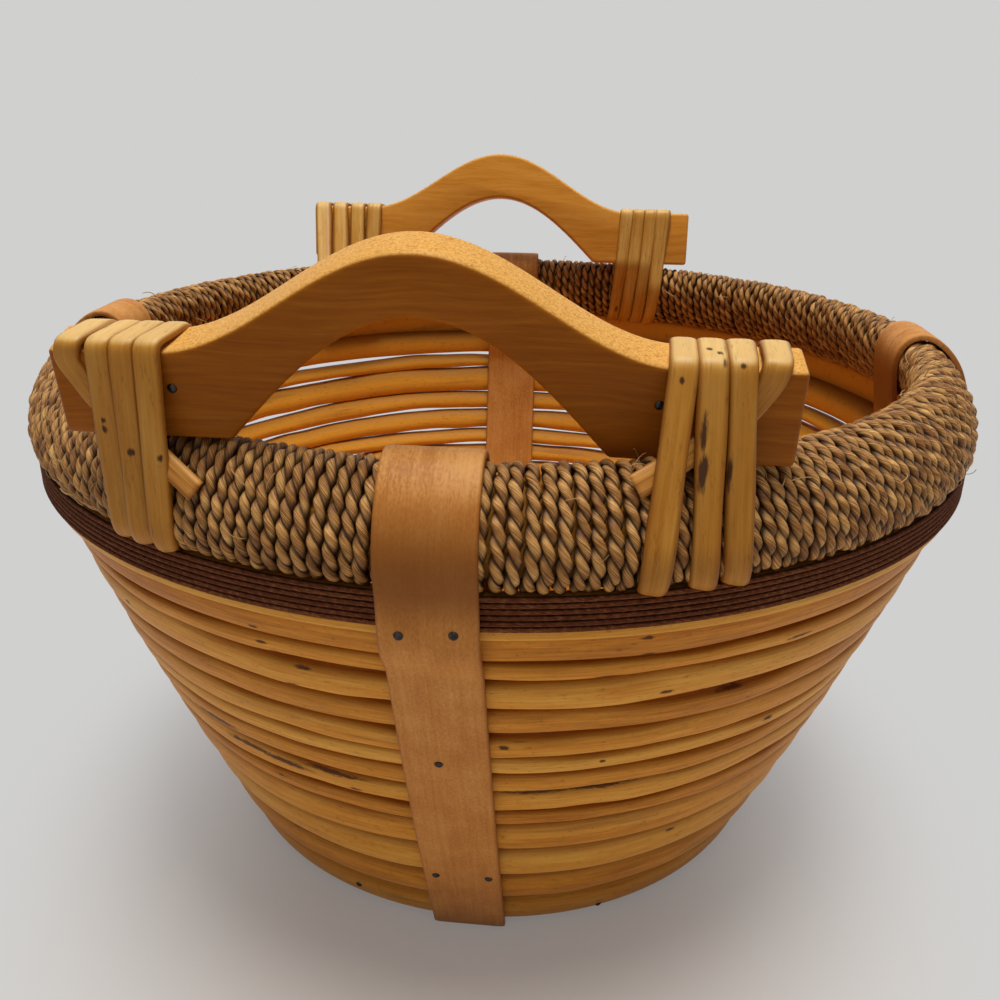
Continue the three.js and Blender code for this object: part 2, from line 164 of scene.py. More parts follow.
def coloured(shader, colour, roughness=None):
    colour.into(shader.inputs["Base Color"])
    if roughness is not None:
        roughness.into(shader.inputs["Roughness"])


def bumped(shader, height, strength, distance):
    values = {"Height": height, "Strength": strength, "Distance": distance}
    field(height.tree, "ShaderNodeBump", values).into(shader.inputs["Normal"])


def dressed(node_name, material):
    """Gives a carried-over solid its material."""
    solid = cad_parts[node_name]
    solid.data.materials.clear()
    solid.data.materials.append(material)


def board_wood():
    material, tree, shader = finish_of("base_wood", 0.62, 0.3)
    x, y, z = split(coordinates(tree))
    grain = speckle(triple(x * 6.0, y * 90.0, z), 3.0, 5.0, 0.6, 0.4)
    colour = ramp(grain, (0.25, (0.30, 0.165, 0.06)), (0.55, (0.44, 0.26, 0.10)), (0.8, (0.54, 0.34, 0.15)))
    coloured(shader, colour)
    bumped(shader, grain, 0.25, 0.4 * mm)
    return material


dressed("base_board", board_wood())

# Wall rods
# Thirteen hoops of peeled willow, thick ones low and thin ones high, with light between them. Each is
# bent to a ring whose ends meet under the back strap. The skin is honey tan, with knots and dark streaks.
wall_base = 126.5
wall_flare = 67.6
wall_bulge = 3.0
wall_height = 176.7
rod_depth = 9.5
seam_angle = math.radians(92.0)
seam_gap = 0.00001 * mm


def wall_radius(z):
    share = z / wall_height
    return wall_base + wall_flare * share + 4.0 * wall_bulge * share * (1.0 - share)


def wall_slope(z):
    return (wall_flare + 4.0 * wall_bulge * (1.0 - 2.0 * z / wall_height)) / wall_height


def compass(angle):
    """Cosine and sine of an angle in degrees."""
    return math.cos(math.radians(angle)), math.sin(math.radians(angle))


def new_recipe(name, **sizes):
    """A geometry tree with named sizes: the tree and its sizes by name."""
    tree = bpy.data.node_groups.new(name, "GeometryNodeTree")
    tree.interface.new_socket("Geometry", in_out="INPUT", socket_type="NodeSocketGeometry")
    for size, value in sizes.items():
        kind = "NodeSocketInt" if isinstance(value, int) else "NodeSocketFloat"
        tree.interface.new_socket(size, in_out="INPUT", socket_type=kind).default_value = value
    tree.interface.new_socket("Finish", in_out="INPUT", socket_type="NodeSocketMaterial")
    tree.interface.new_socket("Geometry", in_out="OUTPUT", socket_type="NodeSocketGeometry")
    sockets = tree.nodes.new("NodeGroupInput").outputs
    return tree, {socket.name: Field(tree, socket) for socket in sockets}


def kept(geometry, kind="FLOAT", **fields):
    """Stores values on the points under names that materials read."""
    for name, value in fields.items():
        values = {"Geometry": geometry, "Name": name, "Value": value}
        geometry = field(geometry.tree, "GeometryNodeStoreNamedAttribute", values, data_type=kind,
                         domain="POINT")
    return geometry


def served(geometry, finish):
    """The end of every recipe: seams closed, smooth, real geometry with its material."""
    tree = geometry.tree
    closed = field(tree, "GeometryNodeMergeByDistance", {"Geometry": geometry, "Distance": seam_gap})
    smooth = field(tree, "GeometryNodeSetShadeSmooth", [closed])
    real = field(tree, "GeometryNodeRealizeInstances", [smooth])
    painted = field(tree, "GeometryNodeSetMaterial", {"Geometry": real, "Material": finish})
    painted.into(tree.nodes.new("NodeGroupOutput").inputs[0])
    return tree


def unit_grid(tree, along, around):
    """A sheet of points, with how far along and around each lies between 0 and 1."""
    values = {"Size X": 1.0, "Size Y": 1.0, "Vertices X": along, "Vertices Y": around}
    sheet = field(tree, "GeometryNodeMeshGrid", values, "Mesh")
    x, y, _ = split(field(tree, "GeometryNodeInputPosition"))
    return sheet, x + 0.5, y + 0.5


def moved_round(geometry, radius, turn, level):
    """Moves points to a radius and a turn about the basket's middle, and to a height."""
    place = triple(radius * calc("COSINE", turn), radius * calc("SINE", turn), level)
    return field(geometry.tree, "GeometryNodeSetPosition", {"Geometry": geometry, "Position": place})


def placed(name, data):
    """A new object in the scene."""
    thing = bpy.data.objects.new(name, data)
    bpy.context.scene.collection.objects.link(thing)
    return thing


def made(name, recipe, finish, mesh=None, **sizes):
    """Runs a recipe and keeps its result as a plain mesh object."""
    maker = placed(name + "_maker", mesh or bpy.data.meshes.new(name + "_start"))
    modifier = maker.modifiers.new("recipe", "NODES")
    modifier.node_group = recipe
    sizes["Finish"] = finish
    for item in recipe.interface.items_tree:
        if item.in_out == "INPUT" and item.name in sizes:
            modifier[item.identifier] = sizes[item.name]
    graph = bpy.context.evaluated_depsgraph_get()
    result = bpy.data.meshes.new_from_object(maker.evaluated_get(graph), depsgraph=graph)
    maker.modifiers.clear()
    bpy.data.objects.remove(maker)
    result.name = name
    return placed(name, result)


def fixed(piece, slot, *nodes):
    """Every piece rides on the one rigid body and stands for its solids, which it hides. The slot is not
    used.
    """
    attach(piece, "root")
    if nodes:
        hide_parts(*nodes)


def powered(value, power):
    """A signed power, for a rounder or squarer section."""
    return calc("POWER", calc("ABSOLUTE", value), power) * calc("SIGN", value)


def hoop_recipe():
    """A bent hoop with an oval or flat section that follows the wall's slope and wanders a little."""
    tree, size = new_recipe("bent_hoop", Radius=0.15, Level=0.1, Height=0.01, Depth=0.01, Slope=0.4,
                            Roundness=0.62, Inside=0.95, Wander=0.001, Swell=0.35, Seed=0.0,
                            Along=601, Around=21)
    sheet, u, v = unit_grid(tree, size["Along"], size["Around"])
    turn = u * math.tau + seam_angle
    roll = v * math.tau
    ring = triple(calc("COSINE", turn), calc("SINE", turn), size["Seed"] * 7.3)
    noise = split(speckle(ring, 2.2, 2.0, 0.5, output="Color"))
    aside, above, growth = (part * 2.0 - 1.0 for part in noise)
    tall = size["Height"] * 0.5 * (growth * size["Swell"] + 1.0)
    cos_roll = calc("COSINE", roll)
    inner = calc("LESS_THAN", cos_roll, 0.0)
    power = field(tree, "ShaderNodeMix", [inner, None, size["Roundness"], size["Inside"]])
    up = tall * powered(calc("SINE", roll), power)
    out = up * size["Slope"] + size["Depth"] * 0.5 * powered(cos_roll, power)
    radius = aside * (size["Wander"] * 0.35) + size["Radius"] + out
    level = above * size["Wander"] + size["Level"] + up
    sheet = kept(sheet, along=turn * size["Radius"], around=roll, tone=size["Seed"])
    bent = moved_round(sheet, radius, turn, level)
    return served(field(tree, "GeometryNodeFlipFaces", [bent]), size["Finish"])


def read(tree, name, output="Fac"):
    return field(tree, "ShaderNodeAttribute", output=output, attribute_name=name)


def vector_calc(operation, *values, output=0):
    return field(tree_of(values), "ShaderNodeVectorMath", values, output, operation=operation)


def spotted(spots, ragged):
    """1 on knots and patches of bark at set places in millimetres, 0 past their ragged edges."""
    place = coordinates(ragged.tree)
    found = 0.0
    for centre, halves in spots:
        aside = vector_calc("SUBTRACT", place, [value * mm for value in centre])
        shares = vector_calc("MULTIPLY", aside, [1.0 / (half * mm) for half in halves])
        found = calc("MAXIMUM", found, 1.0 - vector_calc("LENGTH", shares, output="Value"))
    return fade((ragged - 0.5) * 1.5 + found, 0.05, 0.62)


def scattered(vector):
    """Cells round scattered points: a chance for each cell, and how far off its point is."""
    cells = step(vector.tree, "ShaderNodeTexVoronoi", {"Vector": vector, "Scale": 1.0}).outputs
    return split(Field(vector.tree, cells["Color"]))[0], Field(vector.tree, cells["Distance"])


def peeled_willow():
    material, tree, shader = finish_of("peeled_willow", 0.5, 0.18)
    along, around, tone = (read(tree, name) for name in ("along", "around", "tone"))
    own = tone * 5.17
    broad = speckle(triple(along * 14.0, around, own), 1.0, 3.0)
    streaks = speckle(triple(along * 45.0, around * 7.0, own), 1.0, 4.0, 0.65)
    shift = calc("FRACT", tone * 0.618) * 0.24 - 0.12
    blend = streaks * 0.55 + broad * 0.45 + shift
    colour = ramp(blend, (0.28, (0.46, 0.152, 0.011)), (0.48, (0.74, 0.300, 0.030)),
                  (0.70, (0.90, 0.480, 0.085)))
    # Painted light: the rods' inner sides take a brighter orange, as if lit.
    inside = fade(calc("COSINE", around), 0.1, -0.6)
    colour = mixed(inside * 0.85, colour, (0.96, 0.43, 0.040))
    # Painted shade: each rod darkens towards its top, where it tucks under the rod above.
    painted_groove_shade = fade(calc("SINE", around), 0.0, 0.98)
    colour = mixed(painted_groove_shade * 0.6, colour, (0.22, 0.068, 0.006))
    chance, near = scattered(triple(along * 30.0, around * 0.75, own))
    ragged = fade(speckle(triple(along * 220.0, around * 5.0, own), 1.0, 3.0), 0.40, 0.62)
    knots = fade(chance, 0.72, 0.74) * fade(near, 0.17, 0.05) * ragged
    torn = speckle(triple(along * 330.0, around * 6.0, own), 1.0, 4.0, 0.7)
    knots = calc("MAXIMUM", knots, spotted(rod_spots, torn))
    colour = mixed(knots * 0.93, colour, (0.085, 0.018, 0.001))
    # Real stains of the skin, where the broad noise runs high.
    darkening = fade(broad, 0.60, 0.74)
    colour = mixed(darkening * 0.45, colour, (0.27, 0.105, 0.028))
    coloured(shader, colour, streaks * 0.25 + 0.36)
    bumped(shader, streaks - knots, 0.3, 0.35 * mm)
    return material


rod_marks = [
    (-73.0, 173.0, 3.2, 1.1), (-72.5, 165.6, 3.0, 1.2), (-76.0, 157.4, 6.0, 0.8), (-69.3, 146.7, 3.6, 1.2),
    (-65.1, 143.2, 2.4, 2.0), (-60.8, 139.8, 9.0, 0.9), (-52.2, 114.8, 3.5, 1.4), (-85.6, 124.4, 2.2, 1.6),
    (-82.0, 98.4, 18.0, 2.4), (-74.0, 98.8, 20.0, 2.2), (-74.5, 114.4, 1.8, 1.0), (-54.8, 159.2, 8.0, 0.9),
    (-59.0, 54.2, 3.0, 1.2), (-110.0, 167.6, 2.6, 1.0), (-109.8, 160.8, 2.6, 1.2),
    (-108.5, 157.4, 3.0, 1.2), (-105.9, 152.6, 4.4, 1.2), (-107.8, 143.6, 3.2, 0.9),
    (-133.4, 148.4, 2.6, 1.2), (-125.0, 102.4, 17.0, 1.9), (-120.5, 94.6, 18.0, 1.7),
    (-114.5, 94.0, 16.0, 1.8), (-107.0, 96.4, 18.0, 1.3), (-104.2, 90.5, 4.0, 0.9)]
rod_spots = []
for angle, level, half_length, half_height in rod_marks:
    cosine, sine = compass(angle)
    centre = (wall_radius(level) * cosine, wall_radius(level) * sine, level)
    rod_spots.append((centre, (half_length, half_length, half_height)))

willow = peeled_willow()
bent_hoop = hoop_recipe()
rod_count = 13
thin_rods_from = 4
rod_overlap = 0.8
rod_slope_share = 0.72
foot_rise = 0.7
thin_rod_growth = 1.1
top_rod_growth = 4.0
top_rod_rise = 1.5
for number in range(rod_count):
    node = "wall_rod_%02d" % (number + 1)
    low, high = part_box(node)
    height = (high[2] - low[2]) / mm
    level = (low[2] + high[2]) / 2.0 / mm
    if number == 0:
        level += foot_rise
        height -= foot_rise * 2.0
        sizes = {"Wander": 0.0, "Swell": 0.0, "Inside": 0.4}
    elif number < thin_rods_from:
        height += rod_overlap
        sizes = {"Wander": 1.0 * mm, "Swell": 0.15}
    elif number < rod_count - 1:
        height += thin_rod_growth
        sizes = {"Wander": 2.6 * mm, "Swell": 0.4}
    else:
        level += top_rod_rise
        height += top_rod_growth
        sizes = {"Wander": 0.7 * mm, "Swell": 0.15}
    rod = made(node + "_willow", bent_hoop, willow,
               Radius=(wall_radius(level) - rod_depth / 2.0) * mm, Level=level * mm, Height=height * mm,
               Depth=rod_depth * mm, Slope=wall_slope(level) * rod_slope_share, Seed=number + 1.0, **sizes)
    fixed(rod, "willow", node)

# Top hoop
# A flat lath of the same willow, bent round the top of the rods and nailed to the straps. The dark cord
# covers it but for a strip along its lower edge.
low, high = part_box("top_hoop")
hoop_thickness = 5.0
hoop_trim = 0.9
hoop_growth = 2.6
hoop_radius = high[0] / mm
hoop_foot = low[2] / mm + hoop_trim
hoop_top = high[2] / mm + hoop_growth
hoop = made("top_hoop_willow", bent_hoop, willow, Radius=(hoop_radius - hoop_thickness / 2.0) * mm,
            Level=(hoop_foot + hoop_top) / 2.0 * mm, Height=(hoop_top - hoop_foot) * mm,
            Depth=hoop_thickness * mm, Slope=0.0, Roundness=0.3, Inside=0.3, Wander=0.3 * mm, Swell=0.05,
            Seed=21.0, Around=25)
fixed(hoop, "willow", "top_hoop")

# Cord band
# Six rounds of dark brown twisted paper cord, wound tight round the hoop under the rim. Each round shows
# the slant of its twist, and a few fibres.
cord_rounds = 6
cord_radius = 0.98
cord_press = 0.2
cord_pitch = 1.93
cord_lay = 3.2
cord_lobes = 0.012
cord_steps = 9000
band_bottom = 178.6
band_radius = hoop_radius + cord_radius - cord_press


def cord_recipe():
    """A cord wound in rounds, one above the other, with a slight twist in its section."""
    tree, size = new_recipe("wound_cord", Radius=0.19, Bottom=0.17, Rounds=6.0, Pitch=0.002, Thick=0.001,
                            Lay=0.004, Lobes=0.012, Along=9001, Around=9)
    sheet, u, v = unit_grid(tree, size["Along"], size["Around"])
    rounds = u * size["Rounds"]
    turn = rounds * math.tau + seam_angle
    roll = v * math.tau
    length = turn * size["Radius"]
    twist = roll * 2.0 - length / size["Lay"] * math.tau
    drift = speckle(triple(length * 60.0, 0.0, 0.0), 1.0, 2.0, 0.5) * 0.2 + 0.9
    end = calc("MINIMUM", u, 1.0 - u)
    taper = calc("MINIMUM", end * 1500.0, 1.0)
    reach = size["Thick"] * (calc("COSINE", twist) * size["Lobes"] + drift) * taper
    radius = reach * calc("COSINE", roll) + size["Radius"]
    level = reach * calc("SINE", roll) + (rounds * size["Pitch"] + size["Bottom"])
    sheet = kept(sheet, along=length, around=twist, side=calc("SINE", roll))
    wound = moved_round(sheet, radius, turn, level)
    return served(field(tree, "GeometryNodeFlipFaces", [wound]), size["Finish"])


def paper_cord():
    material, tree, shader = finish_of("dark_paper_cord", 0.8, 0.12)
    along = read(tree, "along")
    level = split(coordinates(tree))[2] * 900.0
    fibres = speckle(triple(along * 500.0, level, 0.0), 1.0, 4.0, 0.7)
    patches = speckle(triple(along * 20.0, level, 3.0), 0.5, 2.0)
    slant = calc("COSINE", read(tree, "around")) * 0.5 + 0.5
    blend = fibres * 0.69 + slant * 0.06 + patches * 0.25
    colour = ramp(blend, (0.30, (0.052, 0.013, 0.004)), (0.5, (0.140, 0.040, 0.015)),
                  (0.72, (0.34, 0.130, 0.048)))
    # Painted shade: near-black lines where each round of cord touches the next.
    painted_groove_shade = fade(calc("ABSOLUTE", read(tree, "side")), 0.60, 0.95)
    colour = mixed(painted_groove_shade * 0.85, colour, (0.012, 0.004, 0.002))
    coloured(shader, colour)
    bumped(shader, fibres, 0.4, 0.3 * mm)
    return material


band = made("cord_band_cord", cord_recipe(), paper_cord(), Radius=band_radius * mm,
            Bottom=(band_bottom + cord_radius) * mm, Rounds=float(cord_rounds), Pitch=cord_pitch * mm,
            Thick=cord_radius * mm, Lay=cord_lay * mm, Lobes=cord_lobes, Along=cord_steps + 1)
fixed(band, "dark_cord", "cord_band")

# Rim core
# An oval hoop of willow inside the rim, leaning in over the basket. Only glimpses of it show between the
# turns of rope.
dressed("rim_core", willow)

# Rim rope
# Twisted seagrass rope of two strands, wound tight round the core in four lengths that butt under the
# straps. Each strand is a bundle of dry grey-brown blades, with painted shade in the creases and gaps that
# leaves it paler on top.
low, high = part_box("rim_core")
rim_radius = 186.0
rim_level = (low[2] + high[2]) / 2.0 / mm
rim_lean = 31.0
rim_cos, rim_sin = compass(rim_lean)
rim_half_height = 19.3
rim_half_width = 11.6
rope_turns = 260
rope_pieces = 4
strand_radius = 1.5
strand_offset = 0.84
rope_lay = 11.5
rope_sway_out = 1.4
rope_sway_along = 3.4
steps_in_turn = 82
strap_angles = {"front": -92.0, "right": 0.0, "back": 92.0, "left": 180.0}
rope_half = strand_radius + strand_offset
quarter = math.tau / rope_pieces


def rope_recipe():
    """Two twisted strands wound round the leaning oval core, then bent round with the rim."""
    tree, size = new_recipe("wound_rope", Rim=0.18, Level=0.2, HalfHeight=0.017, HalfWidth=0.009, Lean=0.5,
                            Strand=0.0011, Offset=0.001, Lay=0.015, Turns=65.0, Start=0.0, Span=1.57,
                            Seed=0.0, Along=4551, Around=10)
    cos_lean = calc("COSINE", size["Lean"])
    sin_lean = calc("SINE", size["Lean"])
    mean = (size["HalfHeight"] + size["HalfWidth"]) * 0.5
    quarter_gap = (size["HalfHeight"] - size["HalfWidth"]) * 0.25
    both = step(tree, "GeometryNodeJoinGeometry")
    strands = []
    for phase in (0.0, math.pi):
        sheet, u, v = unit_grid(tree, size["Along"], size["Around"])
        coil = u * size["Turns"] * math.tau
        cos_coil = calc("COSINE", coil)
        sin_coil = calc("SINE", coil)
        length = calc("SINE", coil * 2.0) * quarter_gap + coil * mean
        noise = split(speckle(triple(length * 14.0, size["Seed"], 0.0), 1.0, 2.0, 0.5, output="Color"))
        drift = [part - 0.5 for part in noise]
        lump = speckle(triple(length * 110.0, size["Seed"], phase), 1.0, 1.0, 0.5)
        twist = drift[0] * 6.0 + length / size["Lay"] * -math.tau + phase
        cos_twist = calc("COSINE", twist)
        sin_twist = calc("SINE", twist)
        roll = v * math.tau
        cos_roll = calc("COSINE", roll)
        sin_roll = calc("SINE", roll)
        end = calc("MINIMUM", u, 1.0 - u)
        thick = size["Strand"] * (lump * 0.7 + 0.68) * calc("MINIMUM", end * 2000.0, 1.0)
        near = thick * cos_roll + size["Offset"]
        side = thick * sin_roll
        out = near * cos_twist - side * sin_twist
        across = near * sin_twist + side * cos_twist
        sheet = kept(sheet, along=length, depth=out / size["Strand"])
        sheet = kept(sheet, "FLOAT_VECTOR", blade=triple(cos_roll, sin_roll, phase))
        out = drift[1] * (rope_sway_out * mm) + out
        across = drift[2] * (rope_sway_along * mm) + across
        tall = size["HalfHeight"] * cos_coil
        wide = size["HalfWidth"] * sin_coil
        lift = out / calc("SQRT", tall * tall + wide * wide)
        aside = lift * tall + size["HalfWidth"] * cos_coil
        above = lift * wide + size["HalfHeight"] * sin_coil
        radius = aside * cos_lean + size["Rim"] - above * sin_lean
        level = above * cos_lean + (aside * sin_lean + size["Level"])
        turn = u * size["Span"] + size["Start"] + across / size["Rim"]
        strands.append(moved_round(sheet, radius, turn, level))
    for strand in strands:
        strand.into(both.inputs[0])
    return served(Field(tree, both.outputs[0]), size["Finish"])


def seagrass():
    material, tree, shader = finish_of("seagrass", 0.5, 0.3)
    along = read(tree, "along")
    facing, aside, strand = split(read(tree, "blade", "Vector"))
    blades = speckle(triple(along * 80.0, facing * 4.6, aside * 4.6 + strand * 5.0), 1.3, 4.0, 0.65)
    lobes = speckle(triple(along * 120.0, strand, 0.0), 1.0, 2.0)
    blend = blades * 0.6 + lobes * 0.4
    colour = ramp(blend, (0.37, (0.065, 0.018, 0.003)), (0.48, (0.34, 0.136, 0.027)),
                  (0.60, (0.94, 0.54, 0.180)))
    # Painted shade: the strands darken where they sink towards the core and on the sides where the two
    # strands meet, in the creases and in the gaps between turns.
    painted_buried_shade = fade(read(tree, "depth"), 1.35, 0.2)
    painted_crease_shade = calc("MAXIMUM", painted_buried_shade * 0.92, fade(facing, 0.1, -0.6))
    colour = mixed(painted_crease_shade * 0.96, colour, (0.030, 0.009, 0.002))
    coloured(shader, colour, blades * 0.4 + 0.28)
    bumped(shader, blades, 0.6, 0.45 * mm)
    return material


wound_rope = rope_recipe()
grass = seagrass()
for number in range(rope_pieces):
    node = "rim_rope_%d" % (number + 1)
    start = math.radians(strap_angles["front"]) + number * quarter
    rope = made(node + "_seagrass", wound_rope, grass, Rim=rim_radius * mm, Level=rim_level * mm,
                HalfHeight=(rim_half_height - rope_half) * mm, HalfWidth=(rim_half_width - rope_half) * mm,
                Lean=math.radians(rim_lean), Strand=strand_radius * mm, Offset=strand_offset * mm,
                Lay=rope_lay * mm, Turns=rope_turns / rope_pieces, Start=start, Span=quarter,
                Seed=number * 11.0, Along=steps_in_turn * rope_turns // rope_pieces + 1)
    fixed(rope, "seagrass", node)

fibre_count = 170
fibre_length = 6.8
fibre_thickness = 0.16
fibre_depth = 1.6


def stored(tree, name, kind="FLOAT"):
    return field(tree, "GeometryNodeInputNamedAttribute", {"Name": name}, data_type=kind)


def fibre_recipe():
    """Loose ends of the blades: thin bent hairs standing on points of the rope."""
    tree, size = new_recipe("stray_fibres", Thick=0.012)
    bend = field(tree, "GeometryNodeCurveQuadraticBezier",
                 {"Resolution": 7, "Start": (0.0, 0.0, -0.05), "Middle": (0.35, 0.0, 0.55),
                  "End": (1.0, 0.0, 0.35)})
    ring = field(tree, "GeometryNodeCurvePrimitiveCircle", {"Resolution": 4, "Radius": size["Thick"]})
    hair = field(tree, "GeometryNodeCurveToMesh", {"Curve": bend, "Profile Curve": ring})
    outward = stored(tree, "outward", "FLOAT_VECTOR")
    lean = stored(tree, "lean", "FLOAT_VECTOR")
    reach = stored(tree, "reach")
    upright = field(tree, "FunctionNodeAlignRotationToVector", {"Vector": outward}, axis="Z")
    turned = field(tree, "FunctionNodeAlignRotationToVector", {"Rotation": upright, "Vector": lean},
                   axis="X", pivot_axis="Z")
    hairs = field(tree, "GeometryNodeInstanceOnPoints",
                  {"Points": size["Geometry"], "Instance": hair, "Rotation": turned,
                   "Scale": triple(reach, reach, reach)})
    return served(hairs, size["Finish"])


def point_mesh(name, points, **values):
    """Loose points in millimetres with named values."""
    mesh = bpy.data.meshes.new(name + "_places")
    mesh.from_pydata((np.asarray(points) * mm).tolist(), [], [])
    for key, value in values.items():
        flat = np.ndim(value) == 1
        data = mesh.attributes.new(key, "FLOAT" if flat else "FLOAT_VECTOR", "POINT").data
        data.foreach_set("value" if flat else "vector", np.ravel(value).astype(np.float32))
    return mesh


def rim_point(turn, distance, inward=0.0):
    """Radius and height on an oval at a distance out from the rope."""
    aside = (rim_half_width + distance) * np.cos(turn)
    above = (rim_half_height + distance) * np.sin(turn)
    return (rim_radius - inward + aside * rim_cos - above * rim_sin,
            rim_level + aside * rim_sin + above * rim_cos)


stray_finish, tree, shader = finish_of("stray_fibre", 0.55)
shader.inputs["Base Color"].default_value = (0.52, 0.31, 0.11, 1.0)
chance = np.random.default_rng(11)
between_straps = chance.integers(0, 4, fibre_count) + chance.uniform(0.08, 0.92, fibre_count)
butts = [*strap_angles.values(), strap_angles["front"] + 360.0]
around_rim = np.radians(np.interp(between_straps, range(len(butts)), butts))
around_rope = chance.uniform(math.radians(-70.0), math.radians(170.0), fibre_count)
radius, level = rim_point(around_rope, -fibre_depth)
far_radius, far_level = rim_point(around_rope, 0.0)
ring = np.stack([np.cos(around_rim), np.sin(around_rim)], axis=1)
outward = np.column_stack([ring * (far_radius - radius)[:, None], far_level - level])
stray = point_mesh("stray_fibres", np.column_stack([ring * radius[:, None], level]), outward=outward,
                   lean=chance.normal(size=(fibre_count, 3)),
                   reach=fibre_length * mm * chance.uniform(0.4, 1.3, fibre_count))
fibres = made("stray_fibres", fibre_recipe(), stray_finish, stray, Thick=fibre_thickness / fibre_length)
fixed(fibres, "seagrass")

# Straps
# Four bands of thin bent wood clamp the rim and the rods. Each runs up the outside, over the rope and
# down the inside to the base board, and is nailed from outside.
strap_width = 29.8
strap_thickness = 2.4
strap_slides = {"front": (2.4, -1.0), "right": (0.0, 0.0), "back": (1.0, 0.0), "left": (0.0, 0.5)}
strap_seat = 0.4
strap_loft = 1.0
loft_spread = 0.5
strap_foot = 1.4
strap_inner_foot = 14.8
strap_inner_gap = 0.4
strap_bend = 14.0
band_rest = 5.0
band_slack = 0.1
rim_rest_level = 189.0
over_rim = (-54.0, 148.0)
strap_spacing = 1.6


def scaled(vector, factor):
    return field(vector.tree, "ShaderNodeVectorMath", {0: vector, "Scale": factor}, operation="SCALE")


def strip_recipe():
    """A flat or domed strip laid along a path that carries its outward and sideways directions."""
    tree, size = new_recipe("laid_strip", Count=10, Around=17, Dome=1.0, Under=0.2, Roundness=0.5)
    sheet, u, v = unit_grid(tree, size["Count"], size["Around"])
    index = calc("ROUND", u * (size["Count"] - 1.0))
    roll = v * math.tau

    def on_path(value, kind="FLOAT"):
        values = {"Geometry": size["Geometry"], "Value": value, "Index": index}
        return field(tree, "GeometryNodeSampleIndex", values, data_type=kind, domain="POINT")

    centre = on_path(field(tree, "GeometryNodeInputPosition"), "FLOAT_VECTOR")
    outward, sideways = (on_path(stored(tree, name, "FLOAT_VECTOR"), "FLOAT_VECTOR")
                         for name in ("outward", "sideways"))
    width, thick, along, tone, cut = (on_path(stored(tree, name))
                                      for name in ("width", "thick", "along", "tone", "cut"))
    rise = powered(calc("SINE", roll), size["Roundness"])
    above = calc("MAXIMUM", rise, 0.0) * size["Dome"]
    below = calc("MINIMUM", rise, 0.0) * size["Under"]
    across = powered(calc("COSINE", roll), size["Roundness"]) * width * 0.5
    place = vector_calc("ADD", centre, scaled(outward, (above + below) * thick))
    place = vector_calc("ADD", place, scaled(sideways, across))
    sheet = kept(sheet, along=along, across=across, tone=tone, cut=cut)
    laid = field(tree, "GeometryNodeSetPosition", {"Geometry": sheet, "Position": place})
    return served(laid, size["Finish"])


def unit(vectors):
    return vectors / np.linalg.norm(vectors, axis=1, keepdims=True)


def path_lengths(points):
    """How far along a path each of its points lies."""
    return np.concatenate([[0.0], np.cumsum(np.linalg.norm(np.diff(points, axis=0), axis=1))])


def path_mesh(name, points, outward, width, thick, tone, bare=0.0):
    """A path as points in millimetres, with what a strip along it needs and its two ends closed."""
    sideways = unit(np.cross(outward, unit(np.gradient(points, axis=0))))
    count = len(points)
    ends = np.array([0, *range(count), count - 1])
    body = np.concatenate([[0.0], np.ones(count), [0.0]])
    width = np.broadcast_to(width, count)[ends] * body * mm
    cut = np.maximum(np.broadcast_to(bare, count)[ends], 1.0 - body)
    return point_mesh(name, points[ends], outward=outward[ends], sideways=sideways[ends], width=width,
                      thick=thick * body * mm, along=path_lengths(points)[ends] * mm,
                      tone=np.full(count + 2, tone), cut=cut)


def at_places(places, lengths, values):
    """Columns of values along a path, read at other places along it."""
    return np.stack([np.interp(places, lengths, column) for column in values.T], axis=1)


def evenly(points, spacing):
    """The same path with points at even distances."""
    points = np.asarray(points, float)
    lengths = path_lengths(points)
    count = max(int(round(lengths[-1] / spacing)), 2) + 1
    return at_places(np.linspace(0.0, lengths[-1], count), lengths, points)


def softened(points, rounds):
    """Corners eased by averaging each point with its neighbours."""
    points = np.array(points, float)
    for _ in range(rounds):
        points[1:-1] = 0.25 * points[:-2] + 0.5 * points[1:-1] + 0.25 * points[2:]
    return points


def side_fall(radius):
    """How much nearer to the middle a strap's edges touch, inside a round of this radius."""
    return radius - math.sqrt(radius ** 2 - (strap_width / 2.0) ** 2)


def strap_path():
    """Radius and height of the strap's inner face, from the floor outside to the base board inside."""
    leg_top = wall_height - strap_bend
    path = []
    for z in np.linspace(strap_foot, leg_top, 24):
        path.append((wall_radius(z) + strap_seat, z))
    band_seat = hoop_radius + 2.0 * cord_radius + band_slack
    path += [(band_seat - 1.5, wall_height - band_rest), (band_seat, wall_height),
             (band_seat + 0.2, rim_rest_level)]
    crest = math.atan2(rim_half_height * rim_cos, rim_half_width * rim_sin)
    for turn in np.radians(np.linspace(*over_rim, 40)):
        inward = side_fall(rim_radius - rim_half_width) if turn > crest else 0.0
        loft = strap_loft * math.exp(-((turn - crest) / loft_spread) ** 2)
        path.append(rim_point(turn, strap_seat + loft, inward))
    for z in np.linspace(leg_top, strap_inner_foot, 24):
        radius = wall_radius(z) - rod_depth
        path.append((radius - side_fall(radius) - strap_seat - strap_inner_gap, z))
    return softened(evenly(path, strap_spacing), 5)


def strap_slide(side, z):
    """How far a strap lies to one side at a height: none of them stands quite upright."""
    foot, top = strap_slides[side]
    return foot + (top - foot) * z / rim_level


